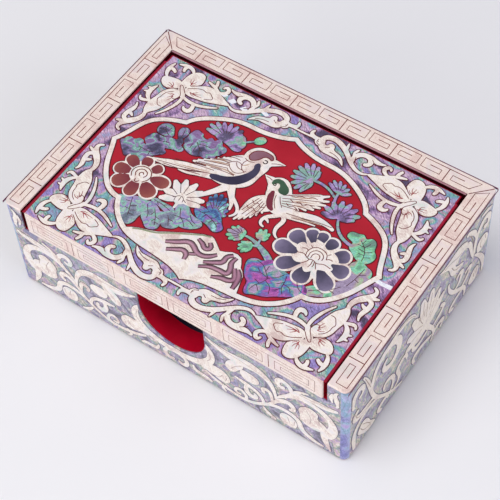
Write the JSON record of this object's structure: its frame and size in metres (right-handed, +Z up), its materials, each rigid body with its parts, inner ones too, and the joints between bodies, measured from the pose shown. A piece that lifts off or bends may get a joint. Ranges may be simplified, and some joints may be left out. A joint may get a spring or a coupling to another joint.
{
  "type": "business card holder",
  "caption": "Rectangular lacquered desk box with an inset lid on hidden pivots, shell inlay and a thumb notch in the front wall.",
  "frame": {"origin": "under the middle of the box, on the surface that it stands on", "axes": "+X to the right along the front, +Y to the back, +Z up; the thumb notch faces -Y"},
  "size_m": [0.11, 0.0754, 0.036],
  "materials": {
    "lacquered_wood": "deep red lacquer",
    "felt": "felt",
    "velvet": "short velvet",
    "brass": "turned",
    "red_lacquer": "polished lacquer",
    "tinted_shell": "polished shell",
    "coloured_shell": "polished shell",
    "dark_flower_shell": "polished shell",
    "white_shell": "polished shell"
  },
  "bodies": {
    "box": {"floor_board": "lacquered_wood", "base_felt": "felt", "front_wall": "lacquered_wood", "back_wall": "lacquered_wood", "left_wall": "lacquered_wood", "right_wall": "lacquered_wood", "floor_lining": "velvet", "front_lining": "velvet", "back_lining": "velvet", "left_lining": "velvet", "right_lining": "velvet", "left_hinge_bush": "brass", "right_hinge_bush": "brass", "left_hinge_washer": "brass", "right_hinge_washer": "brass", "front_shell_ground": "tinted_shell", "back_shell_ground": "tinted_shell", "left_shell_ground": "tinted_shell", "right_shell_ground": "tinted_shell", "corner_shell_strips": "tinted_shell", "left_rim_band": "white_shell", "back_rim_band": "white_shell", "right_rim_band": "white_shell", "front_scroll_inlay": "white_shell", "back_scroll_inlay": "white_shell", "left_scroll_inlay": "white_shell", "right_scroll_inlay": "white_shell"},
    "lid": {"lid_board": "lacquered_wood", "lid_underside_lining": "velvet", "lid_front_band": "white_shell", "left_hinge_pin": "brass", "right_hinge_pin": "brass", "lid_shell_ground": "tinted_shell", "lid_medallion_ground": "red_lacquer", "lid_medallion_ring": "white_shell", "front_left_butterfly": "white_shell", "front_right_butterfly": "white_shell", "back_left_butterfly": "white_shell", "back_right_butterfly": "white_shell", "front_lid_vine": "white_shell", "back_lid_vine": "white_shell", "left_lid_vine": "white_shell", "right_lid_vine": "white_shell", "left_bird": "white_shell", "right_bird": "white_shell", "left_flower": "dark_flower_shell", "right_flower": "dark_flower_shell", "half_blossom": "white_shell", "rock": "white_shell", "middle_leaves": "coloured_shell", "fan_blossoms": "coloured_shell", "buds": "coloured_shell", "upper_left_leaves": "coloured_shell", "lower_left_leaves": "coloured_shell", "lower_right_leaves": "coloured_shell", "right_leaves": "coloured_shell", "stems": "coloured_shell"}
  },
  "joints": [
    {"name": "lid_hinge", "type": "hinge", "parent": "box", "child": "lid", "pos_m": [0, 0.02375, 0.0316], "axis": [-1, 0, 0], "range_deg": [0, 115]}
  ]
}
